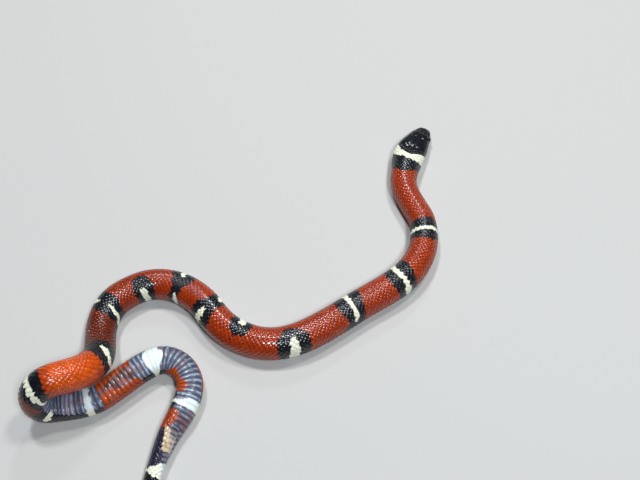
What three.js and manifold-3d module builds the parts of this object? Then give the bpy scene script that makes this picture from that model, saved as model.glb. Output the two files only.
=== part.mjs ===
// A young milk snake about 336 mm long, life size, lying in its sinuous pose on a level floor.
// Millimetres, +Z up, +X to the viewer's right, +Y away from the viewer.
// The body is one long tube swept along a route over the floor. It is parted by thin cuts into the
// head, lower jaw, neck, nine lengths of body and two of tail, with each eye in its own socket.

import * as THREE from "three";
import { mergeVertices } from "three/addons/utils/BufferGeometryUtils.js";
import Module from "manifold-3d";

const wasm = await Module();
wasm.setup();
const { Manifold, Mesh } = wasm;

// Place of the model: the middle of its outline over the floor, which becomes the origin
const CENTRE_X = -23.2;
const CENTRE_Y = -31.2;

// Gap kept between touching pieces
const GAP = 0.3;

// How deep the resting underside is pressed flat at floor level
const PRESS = 0.15;

// Body section: height above and depth below its axis, as shares of the half width
const BACK_RISE = 0.96;
const BELLY_DROP = 0.82;
const BELLY_SQUARENESS = 2.5;

// Route of the body axis, head first: x, y, z, and roll in degrees.
// z 0 marks a stretch that rests on the floor. Roll 0 has the back up and 180 the belly up.
const ROUTE_TO_FOLD = [
  [37.35, 44.0, 1.9, 0],
  [34.25, 38.6, 2.3, 0],
  [30.6, 31.6, 2.95, 0],
  [28.9, 24.8, 0, 0],
  [28.2, 20.8, 0, 0],
  [29.1, 16.0, 0, 0],
  [31.3, 10.9, 0, 0],
  [33.5, 6.0, 0, 0],
  [34.0, 1.0, 0, 0],
  [33.4, -4.6, 0, 0],
  [31.2, -9.9, 0, 0],
  [27.6, -14.8, 0, 0],
  [22.6, -19.0, 0, 0],
  [13.2, -24.9, 0, 0],
  [0.8, -33.0, 0, 0],
  [-6.6, -36.8, 0, 0],
  [-13.1, -38.4, 0, 0],
  [-19.7, -37.9, 0, 0],
  [-27.0, -34.7, 0, 0],
  [-32.0, -30.3, 0, 0],
  [-35.9, -25.2, 0, 0],
  [-41.0, -21.0, 0, 0],
  [-46.0, -18.8, 0, 0],
  [-50.5, -18.1, 0, 0],
  [-55.0, -18.7, 0, 0],
  [-59.2, -20.7, 0, 0],
  [-63.1, -23.5, 0, 0],
  [-65.6, -27.2, 0, 0],
  [-66.8, -31.6, 0, 0],
  [-66.7, -36.0, 4.2, 0],
  [-65.9, -40.6, 5.7, 0],
  [-65.4, -44.6, 8.2, 0],
  [-66.4, -48.3, 10.8, 0],
  [-69.0, -51.2, 12.9, 0],
  [-72.6, -53.0, 14.4, 0],
];

// Fold: an upright U turn that ends belly up, level with the floor
const FOLD_TOP = new THREE.Vector3(-76.6, -54.6, 15.2);
const FOLD_FOOT = new THREE.Vector3(-75.4, -58.3, 4.0);
const FOLD_HEADING = new THREE.Vector3(-0.93, -0.37, 0);
const FOLD_REACH = 5.7;
const FOLD_STOPS = 4;

const ROUTE_AFTER_FOLD = [
  [-71.8, -57.8, 0, 180],
  [-68.2, -56.9, 0, 180],
  [-64.9, -55.7, 0, 180],
  [-61.6, -53.3, 0, 180],
  [-58.1, -50.4, 0, 180],
  [-54.1, -47.1, 0, 180],
  [-50.0, -44.5, 0, 180],
  [-46.2, -43.6, 0, 180],
  [-42.9, -44.6, 0, 180],
  [-40.3, -46.8, 0, 180],
  [-38.7, -49.6, 0, 178],
  [-38.2, -52.6, 0, 172],
  [-38.7, -55.6, 0, 163],
  [-39.7, -58.6, 0, 150],
  [-41.0, -61.6, 0, 135],
  [-42.5, -64.6, 0, 120],
  [-44.0, -68.4, 0, 104],
  [-45.2, -72.2, 0, 90],
  [-46.2, -75.7, 0, 74],
  [-47.2, -79.6, 0, 52],
  [-47.9, -84.5, 0, 24],
  [-47.8, -89.5, 0, 6],
  [-46.4, -94.6, 0, 0],
  [-43.6, -99.2, 0, 0],
  [-39.7, -103.0, 0, 0],
  [-35.0, -105.8, 0, 0],
  [-30.6, -107.6, 0, 0],
];

// Softening of the route's turns, as a distance along the body
const ROUTE_STEP = 0.5;
const ROUTE_SOFTNESS = 1.4;

// Half width of the body by distance from the snout
const HALF_WIDTH = [
  [0, 0.8],
  [0.3, 1.75],
  [1, 2.4],
  [2, 2.9],
  [3, 3.3],
  [4.6, 3.8],
  [6.5, 4.3],
  [8.3, 4.75],
  [10, 5.12],
  [12, 5.3],
  [14, 5.35],
  [17, 5.1],
  [20, 4.65],
  [25, 4.35],
  [36, 4.25],
  [46, 4.4],
  [58, 4.6],
  [68, 4.8],
  [80, 4.75],
  [105, 4.9],
  [138, 4.85],
  [160, 4.75],
  [172, 4.8],
  [182, 4.55],
  [192, 4.65],
  [202, 4.85],
  [210, 4.7],
  [218, 4.45],
  [228, 4.2],
  [240, 4.2],
  [252, 4.25],
  [260, 4.1],
  [268, 3.9],
  [280, 3.85],
  [284, 3.65],
  [289, 3.35],
  [295, 2.9],
  [302, 2.5],
  [312, 2.0],
  [322, 1.45],
  [330, 0.9],
  [335, 0.5],
];

// Head profile from the side: heights of its top and underside above the floor, by distance
const HEAD_TOP = [
  [0, 2.35],
  [0.3, 2.8],
  [1, 3.15],
  [2, 3.55],
  [3, 3.95],
  [4.5, 4.55],
  [6, 5.05],
  [8, 5.6],
  [10, 6.0],
  [12, 6.3],
  [15, 6.7],
  [20, 7.4],
];
const HEAD_UNDERSIDE = [
  [0, 1.75],
  [0.3, 1.2],
  [1, 0.7],
  [2, 0.2],
  [3, -0.08],
  [5, -PRESS],
  [20, -PRESS],
];
const HEAD_SQUARENESS = 2.5;
const HEAD_SIDES = 40;
const HEAD_STOPS = [0.02, 0.3, 0.7, 1.2, 2, 3, 4, 5, 6, 7, 8, 9, 10, 11, 12, 13, 14, 15.35];

// Mouth line: distance back from the snout and height above the floor, then its turn down
const MOUTH_LINE = [
  [0, 1.5],
  [2, 1.35],
  [4, 1.4],
  [6, 1.6],
  [8, 1.85],
  [9.6, 1.8],
  [10.8, 1.2],
];
const MOUTH_TURN = [12, -1];
const JAW_SETBACK = 0.35;
const JAW_INSET = 0.15;

// Eyes and nostrils: distance back from the snout, out from the middle, and height
const EYE = [4.4, 2.72, 3.0];
const EYE_RADIUS = 1.05;
const EYE_SIDES = 18;
const NOSTRIL = [1.2, 2.3, 2.3];
const NOSTRIL_RADIUS = 0.32;
const HEAD_END = 12;
const NECK_FULL = 20;

// Shields of the crown seen from above: distance back from the snout, and out from the middle.
// The first two lie on the middle line and the others are paired.
const ROSTRAL = [[-0.4, -0.95], [0.7, -0.6], [1.0, 0], [0.7, 0.6], [-0.4, 0.95]];
const FRONTAL = [[3.9, 0], [3.7, 1.15], [5.2, 1.0], [6.6, 0.85], [7.6, 0], [6.6, -0.85], [5.2, -1.0], [3.7, -1.15]];
const INTERNASAL = [[1.0, 0], [2.25, 0], [2.35, 1.4], [1.5, 1.6], [0.7, 0.6]];
const PREFRONTAL = [[2.25, 0], [3.9, 0], [3.7, 1.15], [3.3, 2.35], [2.35, 1.4]];
const SUPRAOCULAR = [[3.7, 1.15], [5.2, 1.0], [6.6, 0.85], [6.5, 2.6], [5.6, 3.3], [3.9, 2.9], [3.3, 2.35]];
const PARIETAL = [[7.6, 0], [10.9, 0], [12.1, 0.9], [11.7, 2.3], [9.7, 3.3], [6.5, 2.6], [6.6, 0.85]];

// Lip shields seen from the side: where each starts along the mouth line, and their height
const UPPER_LIP_STARTS = [0.9, 2.0, 3.2, 4.5, 5.9, 7.4, 9.0, 10.4];
const LOWER_LIP_STARTS = [0.9, 1.8, 2.9, 4.1, 5.4, 6.9, 8.4, 9.8];
const LIP_HEIGHT = 0.95;

// How far a shield stands above the groove round it, and half the groove's width
const SHIELD_LIFT = 0.15;
const SHIELD_INSET = 0.09;

// Belly scutes: one raised plate for every two of the living animal's
const SCUTE = 2.84;
const SCUTE_LIFT = 0.24;
const SCUTE_LIP = 0.14;
const SCUTE_EDGE = 116;
const SCUTE_FULL = 132;

// Lengths between the cuts, counted in scutes
const HEAD_LENGTH = 15.5;
const BLACK = 0x16171c;
const RED = 0xb5391b;
const EYE_BLACK = 0x08080a;
const BELLY_GREY = 0x8d93a6;
const LENGTHS = [
  ["neck", 5, RED],
  ["body_1", 10, RED],
  ["body_2", 10, RED],
  ["body_3", 10, RED],
  ["body_4", 10, RED],
  ["body_5", 10, RED],
  ["body_6", 10, RED],
  ["body_7", 10, RED],
  ["body_8", 10, BELLY_GREY],
  ["body_9", 10, BELLY_GREY],
  ["tail_base", 9, RED],
  ["tail_tip", 9, BLACK],
];
const SIDES = 20;

// Smooth curve through a table of distance and value
function tableValue(table, s) {
  const last = table.length - 1;
  if (s <= table[0][0]) return table[0][1];
  if (s >= table[last][0]) return table[last][1];
  let i = 0;
  while (table[i + 1][0] < s) i += 1;
  const slope = (k) => {
    const a = table[Math.max(k - 1, 0)];
    const b = table[Math.min(k + 1, last)];
    return (b[1] - a[1]) / (b[0] - a[0]);
  };
  const [s0, v0] = table[i];
  const [s1, v1] = table[i + 1];
  const h = s1 - s0;
  const t = (s - s0) / h;
  const rest = 1 - t;
  return (
    v0 * (1 + 2 * t) * rest * rest +
    slope(i) * h * t * rest * rest +
    v1 * t * t * (3 - 2 * t) -
    slope(i + 1) * h * t * t * rest
  );
}

const smoothStep = (low, high, x) => THREE.MathUtils.smoothstep(x, low, high);

// Depth from the axis to the floor of a resting section with a given roll
function restingHeight(s, roll) {
  const upright = Math.cos(THREE.MathUtils.degToRad(roll));
  const share = upright > 0 ? BELLY_DROP : BACK_RISE;
  const sideways = Math.sqrt(1 - upright * upright);
  return tableValue(HALF_WIDTH, s) * Math.hypot(sideways, share * upright) - PRESS;
}

// Stations of the route: a place and the direction in which the back faces there
function routeStations() {
  const stations = [];
  let travelled = 0;
  const addRow = ([x, y, z, roll], next) => {
    const place = new THREE.Vector3(x, y, 0);
    if (stations.length) {
      const before = stations[stations.length - 1].place;
      travelled += before.distanceTo(new THREE.Vector3(x, y, z || before.z));
    }
    place.z = z || restingHeight(travelled, roll);
    const turn = THREE.MathUtils.degToRad(roll);
    const right = new THREE.Vector3(next[1] - y, x - next[0], 0).normalize();
    const back = right.multiplyScalar(Math.sin(turn));
    back.z = Math.cos(turn);
    stations.push({ place, back });
  };
  ROUTE_TO_FOLD.forEach((row, i) => addRow(row, ROUTE_TO_FOLD[i + 1] ?? FOLD_TOP.toArray()));
  const middle = FOLD_TOP.clone().add(FOLD_FOOT).multiplyScalar(0.5);
  const spoke = FOLD_TOP.clone().sub(middle);
  for (let i = 0; i <= FOLD_STOPS; i += 1) {
    const turn = (Math.PI * i) / FOLD_STOPS;
    const back = spoke
      .clone()
      .normalize()
      .multiplyScalar(Math.cos(turn))
      .addScaledVector(FOLD_HEADING, Math.sin(turn));
    const place = middle
      .clone()
      .addScaledVector(spoke, Math.cos(turn))
      .addScaledVector(FOLD_HEADING, FOLD_REACH * Math.sin(turn));
    travelled += stations[stations.length - 1].place.distanceTo(place);
    stations.push({ place, back });
  }
  ROUTE_AFTER_FOLD.forEach((row, i) => {
    const before = ROUTE_AFTER_FOLD[i - 1] ?? row;
    const next = ROUTE_AFTER_FOLD[i + 1] ?? [2 * row[0] - before[0], 2 * row[1] - before[1]];
    addRow(row, next);
  });
  return stations;
}

// Gaussian softening of a list of vectors, carried straight on past both ends
function softened(list, reach) {
  const last = list.length - 1;
  const at = (i) => {
    if (i < 0) return list[0].clone().multiplyScalar(2).sub(list[-i]);
    if (i > last) return list[last].clone().multiplyScalar(2).sub(list[2 * last - i]);
    return list[i];
  };
  const width = Math.ceil(3 * reach);
  return list.map((_, i) => {
    const sum = new THREE.Vector3();
    let weight = 0;
    for (let k = -width; k <= width; k += 1) {
      const share = Math.exp((-0.5 * k * k) / (reach * reach));
      sum.addScaledVector(at(i + k), share);
      weight += share;
    }
    return sum.multiplyScalar(1 / weight);
  });
}

// The softened route: places, back directions and distances from the snout
function makeRoute() {
  const stations = routeStations();
  const curve = new THREE.CatmullRomCurve3(stations.map((p) => p.place), false, "centripetal");
  const perStretch = 24;
  const fine = [];
  for (let i = 0; i < stations.length - 1; i += 1) {
    for (let k = 0; k < perStretch; k += 1) {
      const t = k / perStretch;
      const place = curve.getPoint((i + t) / (stations.length - 1));
      const back = stations[i].back.clone().lerp(stations[i + 1].back, t);
      fine.push({ place, back });
    }
  }
  fine.push(stations[stations.length - 1]);
  const distances = [0];
  for (let i = 1; i < fine.length; i += 1) {
    distances.push(distances[i - 1] + fine[i].place.distanceTo(fine[i - 1].place));
  }
  const total = distances[distances.length - 1];
  const count = Math.round(total / ROUTE_STEP);
  const places = [];
  const backs = [];
  let i = 0;
  for (let k = 0; k <= count; k += 1) {
    const s = (total * k) / count;
    while (i < fine.length - 2 && distances[i + 1] < s) i += 1;
    const t = (s - distances[i]) / (distances[i + 1] - distances[i]);
    places.push(fine[i].place.clone().lerp(fine[i + 1].place, t));
    backs.push(fine[i].back.clone().lerp(fine[i + 1].back, t));
  }
  const reach = ROUTE_SOFTNESS / ROUTE_STEP;
  const softPlaces = softened(places, reach);
  const softBacks = softened(backs, 2 * reach);
  const along = [0];
  for (let k = 1; k <= count; k += 1) {
    along.push(along[k - 1] + softPlaces[k].distanceTo(softPlaces[k - 1]));
  }
  return { places: softPlaces, backs: softBacks, along };
}

const route = makeRoute();
const BODY_LENGTH = route.along[route.along.length - 1];

// Place, heading, back and side directions at a distance from the snout
function frameAt(s) {
  const { places, backs, along } = route;
  const last = along.length - 1;
  let i = Math.min(Math.floor((s / BODY_LENGTH) * last), last - 1);
  while (i > 0 && along[i] > s) i -= 1;
  while (i < last - 1 && along[i + 1] < s) i += 1;
  const t = (s - along[i]) / (along[i + 1] - along[i]);
  const place = places[i].clone().lerp(places[i + 1], t);
  const step = (k) => {
    const a = places[Math.max(k - 1, 0)];
    const b = places[Math.min(k + 1, last)];
    return b.clone().sub(a).normalize();
  };
  const heading = step(i).lerp(step(i + 1), t).normalize();
  const back = backs[i].clone().lerp(backs[i + 1], t);
  back.addScaledVector(heading, -back.dot(heading)).normalize();
  const left = back.clone().cross(heading);
  return { place, heading, back, left };
}

// Half width, rise, drop and squareness of the section at a distance from the snout
function sectionAt(s, frame) {
  const half = tableValue(HALF_WIDTH, s);
  const body = { half, rise: BACK_RISE * half, drop: BELLY_DROP * half, square: 2 };
  if (s >= NECK_FULL) return body;
  const mix = smoothStep(HEAD_END, NECK_FULL, s);
  const rise = tableValue(HEAD_TOP, s) - frame.place.z;
  const drop = frame.place.z - tableValue(HEAD_UNDERSIDE, s);
  return {
    half,
    rise: rise + (body.rise - rise) * mix,
    drop: drop + (body.drop - drop) * mix,
    square: HEAD_SQUARENESS + (2 - HEAD_SQUARENESS) * mix,
  };
}

// Point on the surface: angle 0 is the middle of the back, 180 the middle of the belly
function surfacePoint(s, angle, lift = 0, inset = 0) {
  const frame = frameAt(s);
  const section = sectionAt(s, frame);
  const turn = THREE.MathUtils.degToRad(angle);
  const across = Math.sin(turn);
  const up = Math.cos(turn);
  const tall = up > 0 ? section.rise : section.drop;
  const half = section.half - inset;
  const power = up > 0 ? section.square : BELLY_SQUARENESS;
  const size = (Math.abs(across) ** power + Math.abs(up) ** power) ** (-1 / power);
  const point = frame.place
    .clone()
    .addScaledVector(frame.left, across * (half * size + lift))
    .addScaledVector(frame.back, up * (tall * size + lift));
  point.z = Math.max(point.z, 0);
  point.x -= CENTRE_X;
  point.y -= CENTRE_Y;
  return point;
}

// Closed mesh through a list of equal rings, with a flat or pointed cap on each end
function loft(rings) {
  const sides = rings[0].length;
  const points = rings.flat();
  const middle = (ring) =>
    ring.reduce((sum, p) => sum.add(p), new THREE.Vector3()).multiplyScalar(1 / sides);
  const first = points.length;
  const last = first + 1;
  points.push(middle(rings[0]), middle(rings[rings.length - 1]));
  const faces = [];
  for (let r = 0; r < rings.length - 1; r += 1) {
    for (let k = 0; k < sides; k += 1) {
      const a = r * sides + k;
      const b = r * sides + ((k + 1) % sides);
      faces.push(a, b + sides, b, a, a + sides, b + sides);
    }
  }
  const tail = (rings.length - 1) * sides;
  for (let k = 0; k < sides; k += 1) {
    const next = (k + 1) % sides;
    faces.push(first, k, next, last, tail + next, tail + k);
  }
  const geometry = new THREE.BufferGeometry().setFromPoints(points);
  geometry.setIndex(faces);
  return geometry;
}

function ringAt(s, scuteShare, sides = SIDES, inset = 0) {
  const ring = [];
  for (let k = 0; k < sides; k += 1) {
    const angle = (360 * (k + 0.5)) / sides;
    const fromBack = Math.min(angle, 360 - angle);
    const plate = smoothStep(SCUTE_EDGE, SCUTE_FULL, fromBack);
    const slim = Math.min(1, tableValue(HALF_WIDTH, s) / 3);
    ring.push(surfacePoint(s, angle, SCUTE_LIFT * scuteShare * plate * slim, inset));
  }
  return ring;
}

function liftedRing(s, inset) {
  const angles = Array.from({ length: HEAD_SIDES }, (_, k) => (360 * (k + 0.5)) / HEAD_SIDES);
  return angles.map((angle) => surfacePoint(s, angle, SHIELD_LIFT, inset));
}

// One length of body: each scute starts flush and rises to a lip over the next
function bodyLength(start, scutes) {
  const rings = [];
  for (let n = 0; n < scutes; n += 1) {
    const front = start + n * SCUTE + (n === 0 ? GAP / 2 : 0);
    const rear = start + (n + 1) * SCUTE - (n === scutes - 1 ? GAP / 2 : SCUTE_LIP);
    rings.push(ringAt(Math.min(front, BODY_LENGTH), 0));
    rings.push(ringAt(Math.min(rear, BODY_LENGTH), 1));
  }
  return loft(rings);
}

const group = new THREE.Group();

function addNode(name, geometry, color, roughness = 0.35) {
  const material = new THREE.MeshStandardMaterial({ color, roughness, metalness: 0 });
  const mesh = new THREE.Mesh(geometry, material);
  mesh.name = name;
  group.add(mesh);
}

// The head's own directions: backward from the snout, to the animal's right, and up from the floor
const snout = frameAt(0).place;
const headRun = frameAt(HEAD_LENGTH).place.sub(snout).setZ(0).normalize();
const HEAD_PLACE = new THREE.Matrix4().makeBasis(
  headRun,
  new THREE.Vector3(-headRun.y, headRun.x, 0),
  new THREE.Vector3(0, 0, 1),
);
HEAD_PLACE.setPosition(snout.x - CENTRE_X, snout.y - CENTRE_Y, 0);

function solidOf(geometry) {
  const bare = new THREE.BufferGeometry();
  bare.setAttribute("position", geometry.getAttribute("position"));
  if (geometry.index) bare.setIndex(geometry.index);
  const merged = mergeVertices(bare, 1e-4);
  const triVerts = new Uint32Array(merged.index.array);
  return new Manifold(new Mesh({ numProp: 3, vertProperties: merged.attributes.position.array, triVerts }));
}

function largestBody(solid) {
  return solid.decompose().reduce((a, b) => (a.volume() > b.volume() ? a : b));
}

function geometryOf(solid) {
  const { numProp, vertProperties, triVerts } = solid.getMesh();
  const places = new Float32Array((vertProperties.length / numProp) * 3);
  for (let i = 0; i * numProp < vertProperties.length; i += 1) {
    places.set(vertProperties.subarray(i * numProp, i * numProp + 3), i * 3);
  }
  const geometry = new THREE.BufferGeometry();
  geometry.setAttribute("position", new THREE.BufferAttribute(places, 3));
  geometry.setIndex(new THREE.BufferAttribute(triVerts, 1));
  return geometry;
}

// Everything below the mouth line and ahead of its turn down behind the jaw, moved by an offset
function jawRegion(offset) {
  const reach = 10;
  const line = new THREE.SplineCurve(MOUTH_LINE.map(([u, z]) => new THREE.Vector2(u + offset, z + offset)));
  const outline = [new THREE.Vector2(-2, MOUTH_LINE[0][1] + offset), ...line.getPoints(24)];
  outline.push(new THREE.Vector2(MOUTH_TURN[0] + offset, MOUTH_TURN[1]), new THREE.Vector2(-2, MOUTH_TURN[1]));
  const slab = new THREE.ExtrudeGeometry(new THREE.Shape(outline), { depth: 2 * reach, bevelEnabled: false });
  slab.translate(0, 0, -reach);
  slab.rotateX(Math.PI / 2);
  return solidOf(slab.applyMatrix4(HEAD_PLACE));
}

function ballInHead([u, v, z], radius, sides = 12) {
  const ball = new THREE.SphereGeometry(radius, sides, Math.round(sides / 1.5));
  return ball.translate(u, v, z).applyMatrix4(HEAD_PLACE);
}

// Column over a shield's outline, drawn in from its neighbours by the groove
function shieldColumn(outline, depth) {
  const middle = new THREE.Vector2();
  const corners = outline.map(([u, v]) => new THREE.Vector2(u, v));
  corners.forEach((corner) => middle.addScaledVector(corner, 1 / corners.length));
  const drawnIn = corners.map((corner) => {
    const inward = middle.clone().sub(corner);
    return corner.addScaledVector(inward.normalize(), SHIELD_INSET * Math.SQRT2);
  });
  return new THREE.ExtrudeGeometry(new THREE.Shape(drawnIn), { depth, bevelEnabled: false });
}

function crownColumns() {
  const mirrored = (outline) => outline.map(([u, v]) => [u, -v]).reverse();
  const paired = [INTERNASAL, PREFRONTAL, SUPRAOCULAR, PARIETAL];
  const outlines = [ROSTRAL, FRONTAL, ...paired, ...paired.map(mirrored)];
  const rise = 6;
  return outlines.map((outline) => {
    const foot = outline === ROSTRAL ? MOUTH_LINE[0][1] : EYE[2];
    return shieldColumn(outline, rise).translate(0, 0, foot);
  });
}

// Columns that stick out sideways over the lip shields, above the mouth line or below it
function lipColumns(starts, upward) {
  const innermost = 1;
  const reach = 6;
  const columns = [];
  for (let i = 0; i < starts.length - 1; i += 1) {
    const corner = (u, share) => [u, tableValue(MOUTH_LINE, u) + upward * share * LIP_HEIGHT];
    const outline = [corner(starts[i], 0), corner(starts[i + 1], 0), corner(starts[i + 1], 1), corner(starts[i], 1)];
    for (const side of [-1, 1]) {
      const column = shieldColumn(outline, reach).rotateX(Math.PI / 2);
      columns.push(column.translate(0, side > 0 ? innermost + reach : -innermost, 0));
    }
  }
  return columns;
}

// Plates of a lifted copy of the head's surface inside the given columns
function shieldPlates(rings, columns) {
  const lifted = solidOf(loft(rings));
  return columns.map((column) => lifted.intersect(solidOf(column.applyMatrix4(HEAD_PLACE))));
}

// Head above the mouth line, with raised shields, nostril pits and an open socket round each eye
function makeHead(eyes) {
  const rings = HEAD_STOPS.map((s) => ringAt(s, 0, HEAD_SIDES));
  const liftedRings = HEAD_STOPS.map((s) => liftedRing(s, 0));
  let head = solidOf(loft(rings));
  for (const plate of shieldPlates(liftedRings, [...crownColumns(), ...lipColumns(UPPER_LIP_STARTS, 1)])) {
    head = head.add(plate);
  }
  head = head.subtract(jawRegion(GAP / 2));
  for (const side of [-1, 1]) {
    head = head.subtract(solidOf(ballInHead(sided(NOSTRIL, side), NOSTRIL_RADIUS)));
  }
  for (const eye of eyes) head = head.subtract(solidOf(ballInHead(eye, EYE_RADIUS + GAP, EYE_SIDES)));
  return geometryOf(largestBody(head));
}

function makeLowerJaw() {
  const rings = HEAD_STOPS.map((s) => ringAt(s + JAW_SETBACK, 0, HEAD_SIDES, JAW_INSET));
  const liftedRings = HEAD_STOPS.map((s) => liftedRing(s + JAW_SETBACK, JAW_INSET));
  let jaw = solidOf(loft(rings));
  for (const plate of shieldPlates(liftedRings, lipColumns(LOWER_LIP_STARTS, -1))) jaw = jaw.add(plate);
  return geometryOf(largestBody(jaw.intersect(jawRegion(-GAP / 2))));
}

const sided = ([u, v, z], side) => [u, side * v, z];
const eyes = [sided(EYE, -1), sided(EYE, 1)];
addNode("head", makeHead(eyes), BLACK);
addNode("lower_jaw", makeLowerJaw(), BLACK);
addNode("eye_left", ballInHead(eyes[0], EYE_RADIUS, EYE_SIDES), EYE_BLACK, 0.05);
addNode("eye_right", ballInHead(eyes[1], EYE_RADIUS, EYE_SIDES), EYE_BLACK, 0.05);

let start = HEAD_LENGTH;
for (const [name, scutes, color] of LENGTHS) {
  addNode(name, bodyLength(start, scutes), color);
  start += scutes * SCUTE;
}

export default group;
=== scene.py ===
# Looks of a young milk snake: skin, head shields, scales, belly scutes, eyes, floor, light and camera.
# Lengths are millimetres up to the meshes, which are metres. Distances s run from the snout along the
# body. Angles run round it in degrees: 0 is the middle of the back, 180 the middle of the belly, and
# those from 0 to 180 are on the animal's right.

import math

import bpy
import numpy as np
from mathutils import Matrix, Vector, kdtree


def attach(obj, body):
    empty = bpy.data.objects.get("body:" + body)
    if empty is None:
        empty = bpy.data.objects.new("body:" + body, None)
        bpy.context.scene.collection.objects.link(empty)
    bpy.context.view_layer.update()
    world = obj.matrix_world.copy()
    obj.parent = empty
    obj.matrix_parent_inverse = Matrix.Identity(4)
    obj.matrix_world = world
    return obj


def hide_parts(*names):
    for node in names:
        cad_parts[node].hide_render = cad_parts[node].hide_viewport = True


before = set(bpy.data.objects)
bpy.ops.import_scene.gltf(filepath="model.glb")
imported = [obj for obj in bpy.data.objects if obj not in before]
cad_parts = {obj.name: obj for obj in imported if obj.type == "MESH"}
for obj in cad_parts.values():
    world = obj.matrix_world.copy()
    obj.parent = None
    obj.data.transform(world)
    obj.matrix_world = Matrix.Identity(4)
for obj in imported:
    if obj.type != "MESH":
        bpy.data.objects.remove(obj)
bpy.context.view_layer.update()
MM = 0.001
rng = np.random.default_rng(7)

# Place of the animal: the middle of its outline over the floor is the origin
CENTRE = np.array([-23.2, -31.2, 0])

# Body section
PRESS = 0.15
BACK_RISE = 0.96
BELLY_DROP = 0.82
BACK_SQUARENESS = 2
BELLY_SQUARENESS = 2.5
HEAD_SQUARENESS = 2.5
HEAD_END = 12
NECK_FULL = 20

# Route of the body axis, head first: x, y and z, where z 0 rests on the floor, and past the fold x, y
# and roll in degrees
ROUTE_TO_FOLD = [
    (37.35, 44, 1.9), (34.25, 38.6, 2.3), (30.6, 31.6, 2.95), (28.9, 24.8, 0), (28.2, 20.8, 0),
    (29.1, 16, 0), (31.3, 10.9, 0), (33.5, 6, 0), (34, 1, 0), (33.4, -4.6, 0),
    (31.2, -9.9, 0), (27.6, -14.8, 0), (22.6, -19, 0), (13.2, -24.9, 0), (0.8, -33, 0),
    (-6.6, -36.8, 0), (-13.1, -38.4, 0), (-19.7, -37.9, 0), (-27, -34.7, 0), (-32, -30.3, 0),
    (-35.9, -25.2, 0), (-41, -21, 0), (-46, -18.8, 0), (-50.5, -18.1, 0), (-55, -18.7, 0),
    (-59.2, -20.7, 0), (-63.1, -23.5, 0), (-65.6, -27.2, 0), (-66.8, -31.6, 0), (-66.7, -36, 4.2),
    (-65.9, -40.6, 5.7), (-65.4, -44.6, 8.2), (-66.4, -48.3, 10.8), (-69, -51.2, 12.9),
    (-72.6, -53, 14.4),
]
FOLD_TOP = np.array([-76.6, -54.6, 15.2])
FOLD_FOOT = np.array([-75.4, -58.3, 4])
FOLD_HEADING = np.array([-0.93, -0.37, 0])
FOLD_REACH = 5.7
FOLD_STOPS = 4
ROUTE_AFTER_FOLD = [
    (-71.8, -57.8, 180), (-68.2, -56.9, 180), (-64.9, -55.7, 180), (-61.6, -53.3, 180),
    (-58.1, -50.4, 180), (-54.1, -47.1, 180), (-50, -44.5, 180), (-46.2, -43.6, 180),
    (-42.9, -44.6, 180), (-40.3, -46.8, 180), (-38.7, -49.6, 178), (-38.2, -52.6, 172),
    (-38.7, -55.6, 163), (-39.7, -58.6, 150), (-41, -61.6, 135), (-42.5, -64.6, 120),
    (-44, -68.4, 104), (-45.2, -72.2, 90), (-46.2, -75.7, 74), (-47.2, -79.6, 52),
    (-47.9, -84.5, 24), (-47.8, -89.5, 6), (-46.4, -94.6, 0), (-43.6, -99.2, 0), (-39.7, -103, 0),
    (-35, -105.8, 0), (-30.6, -107.6, 0),
]
ROUTE_STEP = 0.5
ROUTE_SOFTNESS = 1.4

# Half width of the body, and the head's top and underside above the floor, by distance
HALF_WIDTH = [
    (0, 0.8), (0.3, 1.75), (1, 2.4), (2, 2.9), (3, 3.3), (4.6, 3.8), (6.5, 4.3), (8.3, 4.75),
    (10, 5.12), (12, 5.3), (14, 5.35), (17, 5.1), (20, 4.65), (25, 4.35), (36, 4.25), (46, 4.4),
    (58, 4.6), (68, 4.8), (80, 4.75), (105, 4.9), (138, 4.85), (160, 4.75), (172, 4.8), (182, 4.55),
    (192, 4.65), (202, 4.85), (210, 4.7), (218, 4.45), (228, 4.2), (240, 4.2), (252, 4.25),
    (260, 4.1), (268, 3.9), (280, 3.85), (284, 3.65), (289, 3.35), (295, 2.9), (302, 2.5),
    (312, 2), (322, 1.45), (330, 0.9), (335, 0.5),
]
HEAD_TOP = [
    (0, 2.35), (0.3, 2.8), (1, 3.15), (2, 3.55), (3, 3.95), (4.5, 4.55), (6, 5.05), (8, 5.6),
    (10, 6), (12, 6.3), (15, 6.7), (20, 7.4),
]
HEAD_UNDERSIDE = [(0, 1.75), (0.3, 1.2), (1, 0.7), (2, 0.2), (3, -0.08), (5, -PRESS), (20, -PRESS)]

# Mouth line, eyes and nostrils: distance back from the snout, out from the middle, and height
MOUTH_LINE = [(0, 1.5), (2, 1.35), (4, 1.4), (6, 1.6), (8, 1.85), (9.6, 1.8), (10.8, 1.2)]
EYE = (4.4, 2.72, 3)
EYE_RADIUS = 1.05
NOSTRIL = (1.2, 2.3, 2.3)
NOSTRIL_RADIUS = 0.26

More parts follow.
